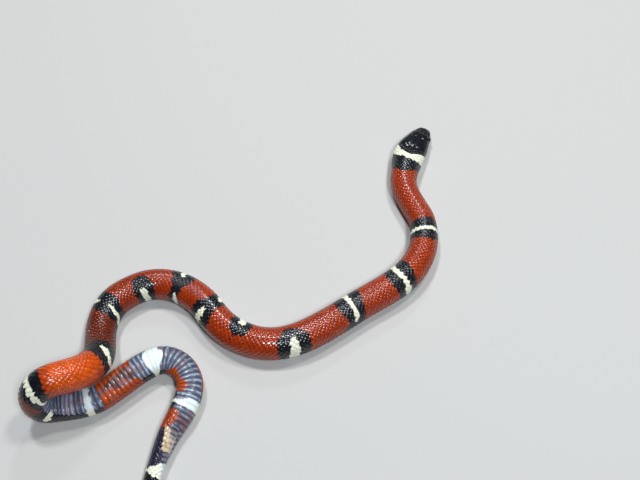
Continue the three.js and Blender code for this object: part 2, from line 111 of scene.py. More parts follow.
# Shields of the crown on one side: distance back from the snout and out from the middle
INTERNASAL = [(1, 0), (2.25, 0), (2.35, 1.4), (1.5, 1.6), (0.7, 0.6)]
PREFRONTAL = [(2.25, 0), (3.9, 0), (3.7, 1.15), (3.3, 2.35), (2.35, 1.4)]
SUPRAOCULAR = [(3.7, 1.15), (6.6, 0.85), (6.5, 2.6), (5.6, 3.3), (3.9, 2.9), (3.3, 2.35)]
PARIETAL = [(7.6, 0), (10.9, 0), (12.1, 0.9), (11.7, 2.3), (9.7, 3.3), (6.5, 2.6), (6.6, 0.85)]
FRONTAL_EDGE = [(3.7, 1.15), (5.2, 1), (6.6, 0.85), (7.6, 0)]
ROSTRAL_EDGE = [(1, 0), (0.7, 0.6), (0.05, 0.95)]
CROWN_LINES = [shield + shield[:1] for shield in (INTERNASAL, PREFRONTAL, SUPRAOCULAR, PARIETAL)]
CROWN_LINES += [FRONTAL_EDGE, ROSTRAL_EDGE]

# Lip shields: distances back from the snout at which they start, their height and their lean
UPPER_LIP_STARTS = [0.9, 2, 3.2, 4.5, 5.9, 7.4, 9, 10.4]
LOWER_LIP_STARTS = [0.9, 1.8, 2.9, 4.1, 5.4, 6.9, 8.4, 9.8]
LIP_HEIGHT = 0.95
LIP_LEAN = 0.1

# Edges of the nasal, loreal, preocular, postocular and temporal shields: distance back and height
FLANK_LINES = [
    [(0.8, 2.4), (2.2, 2.35), (2.3, 3)], [(2.2, 2.35), (3.1, 2.35), (3.2, 3.4)],
    [(3.1, 2.35), (3.62, 2.5)], [(5.4, 2.45), (6, 2.5), (6.2, 3.3), (5.9, 4)], [(5.5, 3.2), (6.2, 3.3)],
    [(6.2, 3.4), (7.9, 3.6), (9.6, 3.7), (11.2, 3.7)], [(7.7, 2.8), (8.1, 3.6), (7.9, 4.7)],
    [(9.4, 2.8), (9.8, 3.7), (9.6, 4.9)],
]

# Edges of the chin shields from below: distance back from the snout and out from the middle
CHIN_LINES = [
    [(1.3, 0), (7.2, 0)], [(0.9, 0.7), (1.3, 0)], [(1.4, 0.1), (2, 1.2), (4.3, 1.5), (4.6, 0)],
    [(4.4, 0.8), (5.2, 1.3), (7, 1.1), (7.2, 0)],
]
HEAD_LINES = {"above": CROWN_LINES, "below": CHIN_LINES, "flank": FLANK_LINES}

# Relief of the head: height or depth of each ridge, its distance from the line it follows, and width
SHIELD_EDGE = (0.05, 0, 0.4)
GROOVE = (0.1, 0, 0.075)
LIP = (0.05, 0.35, 0.22)
MOUTH = (0.32, 0, 0.085)
EYE_RIM = (0.05, 1.06, 0.14)
EYE_SOCKET = (0.8, 0.93)
SOCKET_DEPTH = 0.55
NOSTRIL_DEPTH = 0.38

# Scales: length of body for each ring of them, and the angle and distance where belly scutes take over
PITCH = 1.42
SCUTE_EDGE = 118
FIRST_SCUTE = 13.4
VENT = 286
SKIN_DEPTH = 0.16


# Smooth curve through a table of distance and value
def table_value(table, s):
    x, v = np.array(table, float).T
    last = len(x) - 1
    before = np.maximum(np.arange(last + 1) - 1, 0)
    after = np.minimum(np.arange(last + 1) + 1, last)
    slope = (v[after] - v[before]) / (x[after] - x[before])
    s = np.clip(s, x[0], x[-1])
    i = np.clip(np.searchsorted(x, s, side="right") - 1, 0, last - 1)
    h = x[i + 1] - x[i]
    t = (s - x[i]) / h
    rest = 1 - t
    start = v[i] * (1 + 2 * t) * rest**2 + slope[i] * h * t * rest**2
    return start + v[i + 1] * t**2 * (3 - 2 * t) - slope[i + 1] * h * t**2 * rest


# The same with straight lines
def straight(table, s):
    return np.interp(s, *np.array(table, float).T)


def smooth_step(low, high, x):
    t = np.clip((x - low) / (high - low), 0, 1)
    return t * t * (3 - 2 * t)


# 1 from full to fading, and 0 before start and after end
def stretch(s, start, full, fading, end):
    return smooth_step(start, full, s) * (1 - smooth_step(fading, end, s))


def ridge(x, height, middle, width):
    return height * np.exp(-(((x - middle) / width) ** 2))


# Angle from -180 to 180
def turned(angle):
    return (angle + 180) % 360 - 180


def unit(v):
    return v / np.linalg.norm(v, axis=-1, keepdims=True)


# Depth from the axis to the floor of a resting section with a given roll
def resting_height(s, roll):
    upright = math.cos(math.radians(roll))
    share = BELLY_DROP if upright > 0 else BACK_RISE
    sideways = math.sqrt(1 - upright**2)
    return float(table_value(HALF_WIDTH, s)) * math.hypot(sideways, share * upright) - PRESS


# Stations of the route: a place and the direction in which the back faces there
def route_stations():
    places, backs = [], []
    travelled = 0.0

    def add_row(x, y, z, roll, ahead):
        nonlocal travelled
        if places:
            level = np.array([x, y, z or places[-1][2]])
            travelled += np.linalg.norm(level - places[-1])
        turn = math.radians(roll)
        right = unit(np.array([ahead[1] - y, x - ahead[0], 0.0]))
        back = right * math.sin(turn)
        back[2] = math.cos(turn)
        places.append(np.array([x, y, z or resting_height(travelled, roll)]))
        backs.append(back)

    for row, ahead in zip(ROUTE_TO_FOLD, ROUTE_TO_FOLD[1:] + [FOLD_TOP]):
        add_row(*row, 0, ahead)
    middle = (FOLD_TOP + FOLD_FOOT) / 2
    spoke = FOLD_TOP - middle
    for turn in np.linspace(0, math.pi, FOLD_STOPS + 1):
        forward = FOLD_HEADING * math.sin(turn)
        place = middle + spoke * math.cos(turn) + FOLD_REACH * forward
        travelled += np.linalg.norm(place - places[-1])
        places.append(place)
        backs.append(unit(spoke) * math.cos(turn) + forward)
    beyond = 2 * np.array(ROUTE_AFTER_FOLD[-1]) - ROUTE_AFTER_FOLD[-2]
    for (x, y, roll), ahead in zip(ROUTE_AFTER_FOLD, ROUTE_AFTER_FOLD[1:] + [beyond]):
        add_row(x, y, 0, roll, ahead)
    return np.array(places), np.array(backs)


# Centripetal curve through the stations, with the back directions blended along it
def curve_through(places, backs, per_stretch=24):
    t = (np.arange(per_stretch) / per_stretch)[:, None]
    fine, fine_backs = [], []
    ends = np.vstack([2 * places[0] - places[1], places, 2 * places[-1] - places[-2]])
    for i in range(len(places) - 1):
        p0, p1, p2, p3 = ends[i : i + 4]
        d0, d1, d2 = (math.sqrt(np.linalg.norm(b - a)) for a, b in ((p0, p1), (p1, p2), (p2, p3)))
        leave = ((p1 - p0) / d0 - (p2 - p0) / (d0 + d1) + (p2 - p1) / d1) * d1
        arrive = ((p2 - p1) / d1 - (p3 - p1) / (d1 + d2) + (p3 - p2) / d2) * d1
        curve = p1 + leave * t + (3 * (p2 - p1) - 2 * leave - arrive) * t**2
        fine.append(curve + (2 * (p1 - p2) + leave + arrive) * t**3)
        fine_backs.append(backs[i] + (backs[i + 1] - backs[i]) * t)
    return np.vstack(fine + [places[-1:]]), np.vstack(fine_backs + [backs[-1:]])


# Gaussian softening of a list of vectors, carried straight on past both ends
def softened(rows, reach):
    width = math.ceil(3 * reach)
    offsets = np.arange(-width, width + 1)
    weights = np.exp(-0.5 * (offsets / reach) ** 2)
    weights /= weights.sum()
    head = 2 * rows[0] - rows[width:0:-1]
    tail = 2 * rows[-1] - rows[-2 : -width - 2 : -1]
    longer = np.vstack([head, rows, tail])
    return np.stack([np.convolve(column, weights, "valid") for column in longer.T], 1)


def distances_along(rows):
    steps = np.linalg.norm(np.diff(rows, axis=0), axis=1)
    return np.concatenate([[0.0], np.cumsum(steps)])


def columns_at(x, known_x, rows):
    return np.stack([np.interp(x, known_x, column) for column in rows.T], -1)


def make_route():
    fine, fine_backs = curve_through(*route_stations())
    along = distances_along(fine)
    stops = np.linspace(0, along[-1], round(along[-1] / ROUTE_STEP) + 1)
    reach = ROUTE_SOFTNESS / ROUTE_STEP
    places = softened(columns_at(stops, along, fine), reach)
    backs = softened(columns_at(stops, along, fine_backs), 2 * reach)
    return distances_along(places), places, unit(np.gradient(places, axis=0)), backs


ALONG, PLACES, HEADINGS, BACKS = make_route()
BODY_LENGTH = ALONG[-1]


# Place, heading, back and side directions at distances from the snout
def frame_at(s):
    place = columns_at(s, ALONG, PLACES)
    heading = unit(columns_at(s, ALONG, HEADINGS))
    back = columns_at(s, ALONG, BACKS)
    back = unit(back - (back * heading).sum(-1, keepdims=True) * heading)
    return place, heading, back, np.cross(back, heading)


# Half width, rise, drop and squareness of the section at distances from the snout
def section_at(s, place):
    half = table_value(HALF_WIDTH, s)
    mix = smooth_step(HEAD_END, NECK_FULL, s)
    head_rise = table_value(HEAD_TOP, s) - place[..., 2]
    head_drop = place[..., 2] - table_value(HEAD_UNDERSIDE, s)
    rise = head_rise + (BACK_RISE * half - head_rise) * mix
    drop = head_drop + (BELLY_DROP * half - head_drop) * mix
    return half, rise, drop, HEAD_SQUARENESS + (BACK_SQUARENESS - HEAD_SQUARENESS) * mix


# What would lie under the floor is pressed flat just above it
def pressed(z):
    return np.where(z < PRESS, PRESS * np.exp(np.minimum(z / PRESS - 1, 0)), z)


# Across and up parts of an angle, half height on that side, and size of the section's rounded outline
def outline_at(angle, rise, drop, square):
    across, up = np.sin(np.radians(angle)), np.cos(np.radians(angle))
    tall = np.where(up > 0, rise, drop)
    power = np.where(up > 0, square, BELLY_SQUARENESS)
    return across, up, tall, (np.abs(across) ** power + np.abs(up) ** power) ** (-1 / power)


# Points on the body at a height over its surface, in the model's frame
def surface(s, angle, lift=0.0):
    s, angle, lift = np.broadcast_arrays(np.asarray(s, float), angle, lift)
    place, _, back, side = frame_at(s)
    half, rise, drop, square = section_at(s, place)
    across, up, tall, size = outline_at(angle, rise, drop, square)
    point = place + (across * (half * size + lift))[..., None] * side
    point = point + (up * (tall * size + lift))[..., None] * back
    point[..., 2] = pressed(point[..., 2])
    return point - CENTRE


# Distance round a section of half width 1, from the middle of the back, and the angle it reaches
def girth_table():
    angle = np.linspace(0, 180, num=721)
    across, up, tall, size = outline_at(angle, BACK_RISE, BELLY_DROP, BACK_SQUARENESS)
    return angle, distances_along(np.stack([across * size, up * tall * size], 1))


GIRTH_ANGLE, GIRTH = girth_table()
EDGE_GIRTH = float(np.interp(SCUTE_EDGE, GIRTH_ANGLE, GIRTH))


def angle_of(girth):
    return np.sign(girth) * np.interp(np.abs(girth), GIRTH, GIRTH_ANGLE)


# Markings: a distance for each ring and, by angle, how far past it the black starts, the cream starts and
# ends, and the black ends
RINGS = {
    0: [(-180, 0, 13.2, 15.6, 19.6), (-75, 0, 12.3, 15.4, 20.5), (-60, 0, 12.6, 16.2, 22.2),
        (-30, 0, 15, 17.8, 23), (0, 0, 16.8, 18.8, 23.6), (30, 0, 15.8, 19, 22.8),
        (60, 0, 13.4, 18.5, 21.6), (90, 0, 12.5, 17.6, 20.6)],
    42: [(-180, 1.5, 3.8, 5.8, 8.2), (-60, 1.2, 4.3, 6, 8.6), (-30, 1, 4.2, 5.6, 8.8),
         (0, 0.6, 4.1, 5.4, 8.9), (40, 1, 4, 5.3, 8.5), (65, 2, 4.2, 5, 7.8)],
    61: [(-180, 2, 4.2, 6.4, 8.8), (-60, 0.6, 4.2, 6.2, 9.4), (-30, 1, 5.1, 7, 10),
         (0, 1.8, 5.3, 7, 10.5), (30, 2.4, 5.4, 6.7, 10), (50, 3, 5.3, 7, 9.8), (75, 3.2, 5, 7.3, 9.5),
         (100, 3.4, 5.4, 7, 9.4)],
    80: [(-180, 1.6, 4.2, 6.2, 8.6), (-60, 0.8, 4.3, 6, 9.5), (-30, 1.2, 4.7, 6.3, 10),
         (0, 1.6, 5, 6.4, 10.1), (30, 2.4, 5.1, 6.3, 9.6), (60, 3, 5, 6.9, 8.8),
         (70, 3.2, 5.7, 7.4, 9.6), (77, 3.4, 6.9, 6.9, 10.2), (110, 3.6, 6.9, 6.9, 10.4)],
    101: [(-180, 2.2, 4.8, 6.7, 8.8), (-140, 3.6, 5.6, 5.6, 7.6), (-120, 6, 6, 6, 6), (-30, 6, 6, 6, 6),
          (-20, 4, 6, 6, 8.2), (0, 1.2, 5.4, 5.4, 9.2), (9, 0.9, 5.2, 5.3, 9.7),
          (13, 0.7, 4.3, 6.1, 9.8), (60, 0.8, 3.9, 6.7, 9.8), (90, 1.3, 4.5, 7, 9.6)],
    119: [(-180, 2, 4.2, 5.2, 7.4), (-120, 1, 3.6, 5.6, 8), (-60, 0.5, 3.2, 6, 8.3),
          (-32, 0.2, 2.9, 5.3, 8.2), (-26, 0.4, 3.2, 4.8, 8), (-22, 0.6, 4, 4, 7.8),
          (0, 1, 4.4, 4.4, 7.3), (18, 2.6, 4.4, 4.4, 6), (23, 4.5, 4.6, 4.6, 4.6),
          (140, 4.6, 4.6, 4.6, 4.6), (160, 3, 4.6, 4.6, 6.2)],
    131: [(-180, 1.8, 3.6, 5.4, 7.6), (-60, 2.3, 4.1, 6, 7.3), (-49, 2.3, 4.4, 5.6, 7.1),
          (-45, 2.3, 4.8, 4.8, 7), (0, 2.1, 4.4, 4.4, 7), (14, 1.4, 4.2, 4.2, 7.9),
          (18, 1.2, 3.9, 5.1, 8.1), (30, 0.6, 3.7, 5.4, 8.4), (60, 0.3, 3.2, 5.3, 8.4),
          (90, 0.2, 3.4, 5.5, 8.2), (120, 0.8, 3.8, 5.8, 8.4)],
    144: [(-180, 1.6, 3.4, 4.8, 7), (-60, 1, 4.2, 5.5, 8.1), (-45, 0.9, 3.9, 5.2, 7.8),
          (-30, 0.8, 3.8, 4.7, 7.4), (-26, 0.8, 4.2, 4.2, 7.3), (0, 1.5, 4.2, 4.2, 6.6),
          (20, 2.4, 4.2, 4.2, 5.8), (46, 2.8, 4.3, 4.3, 5.9), (50, 2.8, 4, 5.1, 6),
          (60, 2.8, 3.6, 4.9, 6.8), (80, 1.4, 2.5, 4.5, 6.6), (105, 1, 2.4, 4, 6.4)],
    156: [(-180, 0.6, 2.8, 4.8, 7.2), (-120, 1.6, 3.4, 4.2, 6.2), (-90, 5, 5, 5, 5), (-24, 5, 5, 5, 5),
          (-19, 4.2, 5, 5, 5.8), (0, 2, 4.6, 4.6, 7.4), (20, 0.8, 4.6, 4.6, 7.9),
          (33, 0.4, 4.6, 4.7, 8.1), (36, 0.4, 3.9, 5.8, 8.1), (60, 0.6, 3.1, 5.8, 8),
          (90, 0.3, 2.7, 5.5, 7.6), (110, 0.1, 2.5, 4.8, 7.4)],
    170: [(-180, 0.6, 2.8, 4.2, 6.4), (-60, 0.6, 2.9, 4, 5.8), (-33, 0.5, 3.3, 3.9, 6.1),
          (-28, 0.4, 3.5, 3.5, 6.2), (0, 0.2, 3.4, 3.4, 6.7), (10, 0.1, 3.5, 3.5, 6.8),
          (14, 0.1, 3.2, 3.9, 6.8), (30, 0.2, 3.2, 4.6, 7.4), (45, 0.6, 3.7, 5.2, 8),
          (60, 1.3, 4.1, 5.6, 8.3), (75, 1.4, 4.9, 6.6, 8.8), (90, 1.6, 5.8, 8, 10),
          (120, 2, 6.4, 8.8, 10.8)],
    189: [(-180, 1.6, 3.4, 5, 7.2), (-120, 1.8, 4, 4, 6.2), (-60, 2, 4, 4, 6.5),
          (0, 0.8, 3.9, 3.9, 7.7), (10, 0.7, 3.9, 3.9, 7.7), (14, 0.7, 3.4, 4.4, 7.7),
          (30, 0.6, 3.4, 5.1, 7.7), (45, 0.5, 3.8, 5.7, 7.8), (60, 1, 4.2, 6, 7.9),
          (75, 1.2, 4.8, 6.2, 8), (90, 1.6, 5.1, 6, 8), (110, 2, 4.4, 5.4, 7.6)],
    210: [(-180, 0.8, 3.4, 5.4, 7.6), (-30, 0.8, 2.8, 3.8, 6), (0, 0.7, 2.8, 3.7, 5.8),
          (30, 0.7, 2.8, 4.2, 5.8), (60, 0.9, 3, 4.6, 6), (90, 1.2, 3.9, 5.5, 7.8),
          (120, 2.2, 5, 7.2, 9.2), (150, 1.8, 4.4, 6.8, 9.2)],
    219: [(-180, 0.4, 4.4, 4.4, 15.8), (-120, 1.6, 3.6, 4.6, 9), (-90, 4, 4, 4, 4), (50, 4, 4, 4, 4),
          (60, 0.8, 4, 4.2, 15), (85, 0.8, 3.8, 5.6, 15.6), (120, 0.8, 3.8, 5.8, 15.8),
          (134, 0.8, 4.4, 4.6, 15.8), (170, 0.8, 4.4, 4.4, 15.8)],
    232: [(-180, 0.4, 3, 5, 7.3), (-90, 1, 3, 5, 6.8), (0, 0.8, 3.2, 4.9, 7), (90, 0.6, 3, 5, 7.1)],
    250: [(-180, 0.9, 4.9, 10.6, 13.4), (-150, 1.4, 5.3, 9.9, 14), (-130, 1.8, 6.3, 9.3, 12.8),
          (-120, 2, 6.5, 8.7, 12.6), (0, 3, 6.2, 7.8, 11), (90, 2.4, 6.4, 8.3, 12),
          (100, 2, 6.3, 8.5, 12.4), (120, 1.4, 5.9, 9, 12.8), (150, 0.9, 5.1, 10, 13.2)],
    275: [(-180, 0.4, 3, 5.9, 8), (-150, 0, 2.8, 5.7, 7.6), (0, 1.4, 4, 5.4, 7.6),
          (90, 1.6, 4.3, 5.2, 7.4), (150, 1.4, 3.8, 5.5, 7.4)],
    288: [(-180, 6.6, 9.2, 13.4, 18), (-140, 4, 9.4, 13.2, 18), (-90, 2, 9.8, 13, 17.8),
          (0, 1.4, 11.7, 12.3, 17.4), (30, 0.8, 11.4, 12.7, 17.4), (60, 0.2, 10.8, 13.3, 17.8),
          (90, 0, 9.9, 13.6, 18), (96, 0.2, 9.6, 13.6, 18), (102, 5.6, 9.4, 13.5, 18),
          (150, 7, 9.3, 13.5, 18)],
    310: [(-180, 0.5, 3.6, 6.6, 10), (0, 0, 4, 6, 10.6), (90, 0.2, 3.8, 6.4, 10.2)],
    323: [(-180, 0.6, 3.6, 5.8, 17), (0, 0, 4, 5.4, 17)],
}

# Colours in linear red, green and blue
BLACK = np.array([0.0055, 0.0065, 0.0095])
RED = np.array([0.345, 0.03, 0.0012])
# Painted light: the red of the raised fold lit up to orange
LIT_ORANGE = np.array([0.575, 0.07, 0.0003])
CREAM = np.array([0.86, 0.86, 0.68])
WHITE = np.array([0.76, 0.82, 0.81])
SLATE = np.array([0.1, 0.128, 0.19])
LILAC = np.array([0.34, 0.26, 0.36])
SMUDGE = np.array([0.055, 0.034, 0.036])
PINK = np.array([0.3, 0.12, 0.12])
FLANK = np.array([0.42, 0.06, 0.005])
# Painted highlight: the pale bluish sheen on the belly scutes
PAINTED_SHEEN = np.array([0.62, 0.68, 0.8])
WORN = np.array([0.64, 0.49, 0.32])
WORN_PINK = np.array([0.58, 0.45, 0.4])
WORN_DARK = np.array([0.055, 0.07, 0.11])
INK = np.array([0.02, 0.021, 0.052])

# Where the colours change along the body: start, full, fading and end
# The raised fold's painted lit orange
LIT_ORANGE_STRETCH = (193, 202, 208, 212)
LILAC_STRETCH = (228, 229.5, 231.5, 233)
RUDDY_STRETCH = (281.5, 283, 286, 288)
INKY_STRETCH = (282, 286, 298, 302)
WORN_STRETCH = (287, 288.4, 293.6, 295)
WORN_DARK_STRETCH = (284.6, 286, 289, 290.5)

# Painted shade on the red by distance: duller before the raised fold and in the raised fold's shadow
# where the body turns over
RED_PAINTED_SHADE = [(0, 1), (150, 0.9), (165, 0.78), (175, 0.7), (179, 0.38), (189, 0.38), (193, 1), (210, 1),
        (215, 0.42), (221, 0.42), (226, 1)]

# Angles from the back over which the fold's painted lit orange weakens back to red on its sides, and how
# much of it goes
LIT_ORANGE_EDGE = (50, 105)
LIT_ORANGE_LOSS = 0.75

# Half angle of the smudged middle of the belly by distance, and shares of it on the left and right
SMUDGED = [(237, 40), (239, 8), (242, 20), (246, 36), (251, 50), (262, 50), (300, 44)]
SMUDGED_SHARES = (0.6, 0.95)

# From here on the belly is slate, with red along its outer edges for a while, and between these
# angles on its right half, by distance
SLATE_FROM = 259
RED_FROM = [(260, 100), (276, 108), (282, 62)]
RED_TO = [(260, 96), (263, 104), (265, 146), (270, 152), (276.6, 166), (282.4, 150), (284.5, 150),
          (286.5, 126), (340, 122)]
RED_EDGE_END = 283
RAGGED_EDGE = 5


# 0 red, 1 black or 2 cream at each place on the body
def marking(s, angle):
    s, angle = np.broadcast_arrays(np.asarray(s, float), turned(angle))
    kind = np.zeros(s.shape, int)
    for place, rows in RINGS.items():
        looped = np.array(rows + [(180, *rows[0][1:])], float)
        a, b, c, d = (place + np.interp(angle, looped[:, 0], looped[:, k]) for k in range(1, 5))
        kind = np.where((s >= a) & (s < d), 1, kind)
        kind = np.where((s >= b) & (s < c), 2, kind)
    return kind


def mixed(a, b, share):
    share = np.asarray(share)[..., None]
    return a * (1 - share) + b * share


# Single scales differ: spread goes from -1 to 1
def varied(colour, spread, by):
    return colour * (1 + by * spread)[..., None]


def by_kind(kind, red, dark, pale):
    kind = kind[..., None]
    return np.where(kind == 0, red, np.where(kind == 1, dark, pale))


# Soft irregular blotches 4 mm and more across, from -1 to 1: waves in six directions
def blotches(s, angle, seed=0):
    total = 0
    for k in range(6):
        turn = math.radians(71 * k + 37 * seed)
        pull = 0.9 + 0.16 * k
        across = pull * 0.075 * angle * math.sin(turn)
        total = total + np.sin(pull * s * math.cos(turn) + across + 2.1 * k + 1.3 * seed)
    return np.clip(total / 2.6, -1, 1)


# Edges of pale scales darken less than those of coloured ones
def edged(colours, shade):
    pale = smooth_step(0.3, 0.5, colours.mean(-1, keepdims=True))
    return colours * (1 - (1 - shade[..., None]) * (1 - 0.75 * pale))


# Worn pale patch on the right of the tail's root, and the dark spot in it
def worn_share(s, angle):
    turn = turned(angle)
    share = stretch(s, *WORN_STRETCH) * smooth_step(93, 97, turn)
    dark = stretch(s, *WORN_DARK_STRETCH) * smooth_step(128, 138, turn)
    return share * smooth_step(-1.6, -0.2, -blotches(2 * s, 2 * angle, 6)) * (1 - 0.7 * dark), dark


# Worn skin is straw coloured on the side and pinker towards the middle of the belly
def worn_colour(s, angle):
    toward_middle = np.abs(turned(angle)) + 14 * blotches(2 * s, 2 * angle, 8)
    return mixed(WORN, WORN_PINK, smooth_step(125, 165, toward_middle))


# Colours of back scales
def back_colour(s, angle, spread):
    # Painted light: the raised fold is painted a lit orange on top, fading back to red on its sides
    top = 1 - LIT_ORANGE_LOSS * smooth_step(*LIT_ORANGE_EDGE, np.abs(angle))
    orange = np.clip(stretch(s, *LIT_ORANGE_STRETCH) * top + 0.07 * spread, 0, 1)
    # Painted shade by distance darkens the red and the fold's orange
    red = varied(mixed(RED, LIT_ORANGE, orange) * straight(RED_PAINTED_SHADE, s)[..., None], spread, by=0.12)
    worn = np.sqrt(worn_share(s, angle)[0])
    red = mixed(red, varied(worn_colour(s, angle), spread, by=0.08), worn)
    black = varied(mixed(BLACK, INK, 0.8 * stretch(s, *INKY_STRETCH)), spread, by=0.35)
    return by_kind(marking(s, angle), red, black, varied(CREAM, spread, by=0.05))


# Colours of belly scutes: white rings, slate between them, and red flanks with a smudged middle
def belly_colour(s, angle, spread):
    turn = turned(angle)
    off_middle = 180 - np.abs(turn)
    patchy = blotches(s, angle)
    slate = varied(mixed(SLATE, PINK, 0.30 * smooth_step(0.0, 0.9, patchy)), spread, by=0.2)
    slate = mixed(slate, LILAC, 0.7 * (stretch(s, *LILAC_STRETCH) * smooth_step(75, 55, off_middle)))
    side = np.where(turn < 0, *SMUDGED_SHARES)
    edge = straight(SMUDGED, s) * side + RAGGED_EDGE * patchy
    smudged = smooth_step(edge + 6, edge - 5, off_middle)
    dusky = mixed(SMUDGE, PINK, smooth_step(-0.5, 0.9, blotches(s, angle, 3) + 0.2 * spread))
    flank = mixed(FLANK, PINK, 0.25 * smooth_step(0.1, 0.9, blotches(s, angle, 5)))
    red = mixed(flank, dusky, 0.9 * smudged)
    low = straight(RED_FROM, s)
    high = straight(RED_TO, s) + RAGGED_EDGE * patchy
    lined = smooth_step(low - 6, low + 2, turn) * smooth_step(high + 5, high - 5, turn)
    outer = np.where(s < RED_EDGE_END, smooth_step(58, 64, off_middle), 0)
    ruddy = stretch(s, *RUDDY_STRETCH) * smooth_step(62, 48, off_middle)
    late = mixed(mixed(slate, 0.55 * flank, 0.45 * ruddy), flank, np.maximum(lined, outer))
    red = np.where((s > SLATE_FROM)[..., None], late, red)
    worn, dark = worn_share(s, angle)
    red = mixed(mixed(red, WORN_DARK, 0.8 * dark), worn_colour(s, angle), worn)
    return by_kind(marking(s, angle), red, slate, varied(WHITE, spread, by=0.04))


# Place on the unwrap of the body: three strips of its length, side by side, each once round
STRIPS = 3
STRIP_LENGTH = BODY_LENGTH / STRIPS
END_MARGIN = 0.004
EDGE_MARGIN = 0.012


def unwrap(s, angle, strip=None):
    if strip is None:
        strip = np.clip(np.floor(s / STRIP_LENGTH), 0, STRIPS - 1)
    u = END_MARGIN + (1 - 2 * END_MARGIN) * (s / STRIP_LENGTH - strip)
    v = (strip + EDGE_MARGIN + (1 - 2 * EDGE_MARGIN) * angle / 360) / STRIPS
    return np.stack([u, v], -1)


# A mesh object from points in millimetres, triangles, a colour for each point and places on the unwrap
def mesh_object(name, points, triangles, colours, unwrapped, material, slot):
    mesh = bpy.data.meshes.new(name)
    mesh.vertices.add(len(points))
    mesh.vertices.foreach_set("co", (points * MM).astype(np.float32).ravel())
    mesh.loops.add(triangles.size)
    mesh.loops.foreach_set("vertex_index", triangles.astype(np.int32).ravel())
    mesh.polygons.add(len(triangles))
    mesh.polygons.foreach_set("loop_start", np.arange(0, triangles.size, 3, dtype=np.int32))
    mesh.polygons.foreach_set("use_smooth", np.ones(len(triangles), bool))
    paint = mesh.color_attributes.new("paint", "FLOAT_COLOR", "POINT")
    opaque = np.concatenate([np.clip(colours, 0, 1), np.ones((len(colours), 1))], 1)
    paint.data.foreach_set("color", opaque.astype(np.float32).ravel())
    layer = mesh.uv_layers.new(name="OFBake")
    per_corner = unwrapped[triangles.ravel()] if len(unwrapped) == len(points) else unwrapped
    layer.data.foreach_set("uv", per_corner.astype(np.float32).ravel())
    mesh.update(calc_edges=True)
    mesh.validate()
    mesh.materials.append(material)
    piece = bpy.data.objects.new(name, mesh)
    bpy.context.scene.collection.objects.link(piece)
    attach(piece, "root")
    return piece


# Materials
MOTTLING = {"Scale": 900, "Detail": 5, "Roughness": 0.6}
GRAIN = {"Strength": 0.3, "Distance": 0.00003}
SPECKLES = {"Scale": 4000, "Detail": 3}
SPECKLING = {1: 0.05}

# Iris and pupil, from the eye's rim to its middle
IRIS = [(0.55, (0.008, 0.007, 0.007, 1)), (0.72, (0.016, 0.008, 0.006, 1)),
        (0.90, (0.026, 0.011, 0.007, 1)), (0.93, (0.07, 0.035, 0.02, 1)),
        (0.945, (0.001, 0.001, 0.001, 1))]


def set_inputs(node, values):
    for socket, value in values.items():
        node.inputs[socket].default_value = value


def set_links(tree, node, links):
    for socket, source in links.items():
        tree.links.new(source, node.inputs[socket])


def new_material(name, roughness, coat, coat_roughness=0.14):
    material = bpy.data.materials.new(name)
    material.use_nodes = True
    shader = material.node_tree.nodes["Principled BSDF"]
    set_inputs(shader, {"Roughness": roughness, "Specular IOR Level": 0.10})
    set_inputs(shader, {"Coat Weight": coat, "Coat Roughness": coat_roughness})
    return material, shader


# An output of a new node, made from values and links of its inputs and from its settings
def node_output(tree, kind, output, values=None, links=None, **settings):
    node = tree.nodes.new("ShaderNode" + kind)
    for setting, value in settings.items():
        setattr(node, setting, value)
    set_inputs(node, values or {})
    set_links(tree, node, links or {})
    return node.outputs[output]


# Painted horny skin: the painted colour with fine mottling, uneven gloss and a fine grain
def painted_material(name, roughness, coat, coat_roughness, mottle, grain_scale):
    material, shader = new_material(name, roughness, coat, coat_roughness)
    tree = material.node_tree
    where = {"Vector": node_output(tree, "TexCoord", "Object")}
    uneven = {"Value": node_output(tree, "TexNoise", "Fac", MOTTLING, where)}
    tints = {"To Min": 1 - mottle, "To Max": 1 + mottle}
    glosses = {"To Min": roughness * 0.75, "To Max": roughness * 1.25}
    gloss = node_output(tree, "MapRange", "Result", glosses, uneven)
    paint = {0: node_output(tree, "VertexColor", "Color", layer_name="paint")}
    paint["Scale"] = node_output(tree, "MapRange", "Result", tints, uneven)
    colour = node_output(tree, "VectorMath", "Vector", None, paint, operation="SCALE")
    grain = {"Scale": grain_scale, "Detail": 3.0}
    height = {"Height": node_output(tree, "TexNoise", "Fac", grain, where)}
    normal = node_output(tree, "Bump", "Normal", GRAIN, height)
    set_links(tree, shader, {"Base Color": colour, "Roughness": gloss, "Normal": normal})
    return material


skin_material = painted_material("skin", 0.38, 0.8, 0.11, mottle=0.16, grain_scale=9000)
scale_material = painted_material("back_scales", 0.32, 0.85, 0.125, mottle=0.10, grain_scale=7000)
scute_material = painted_material("belly_scutes", 0.36, 0.45, 0.17, mottle=0.10, grain_scale=5000)


# Eye: a dark iris and a round pupil under the clear scale, by distance from the eye's own axis
def eye_material(name, centre, outward):
    material, shader = new_material(name, roughness=0.08, coat=1.0, coat_roughness=0.03)
    tree = material.node_tree
    where = node_output(tree, "TexCoord", "Object")
    out = node_output(tree, "VectorMath", "Vector", {1: centre}, {0: where}, operation="SUBTRACT")
    along = node_output(tree, "VectorMath", "Value", {1: outward}, {0: out}, operation="DOT_PRODUCT")
    full = {"From Max": EYE_RADIUS * MM}
    speckled = {2: node_output(tree, "MapRange", "Result", full, {"Value": along})}
    speckled[0] = node_output(tree, "TexNoise", "Fac", SPECKLES, {"Vector": where})
    stirred = node_output(tree, "Math", "Value", SPECKLING, speckled, operation="MULTIPLY_ADD")
    colour = node_output(tree, "ValToRGB", "Color", None, {"Fac": stirred})
    stops = colour.node.color_ramp.elements
    stops.remove(stops[1])
    stops[0].position, stops[0].color = IRIS[0]
    for position, shade in IRIS[1:]:
        stops.new(position).color = shade
    set_links(tree, shader, {"Base Color": colour})
    return material


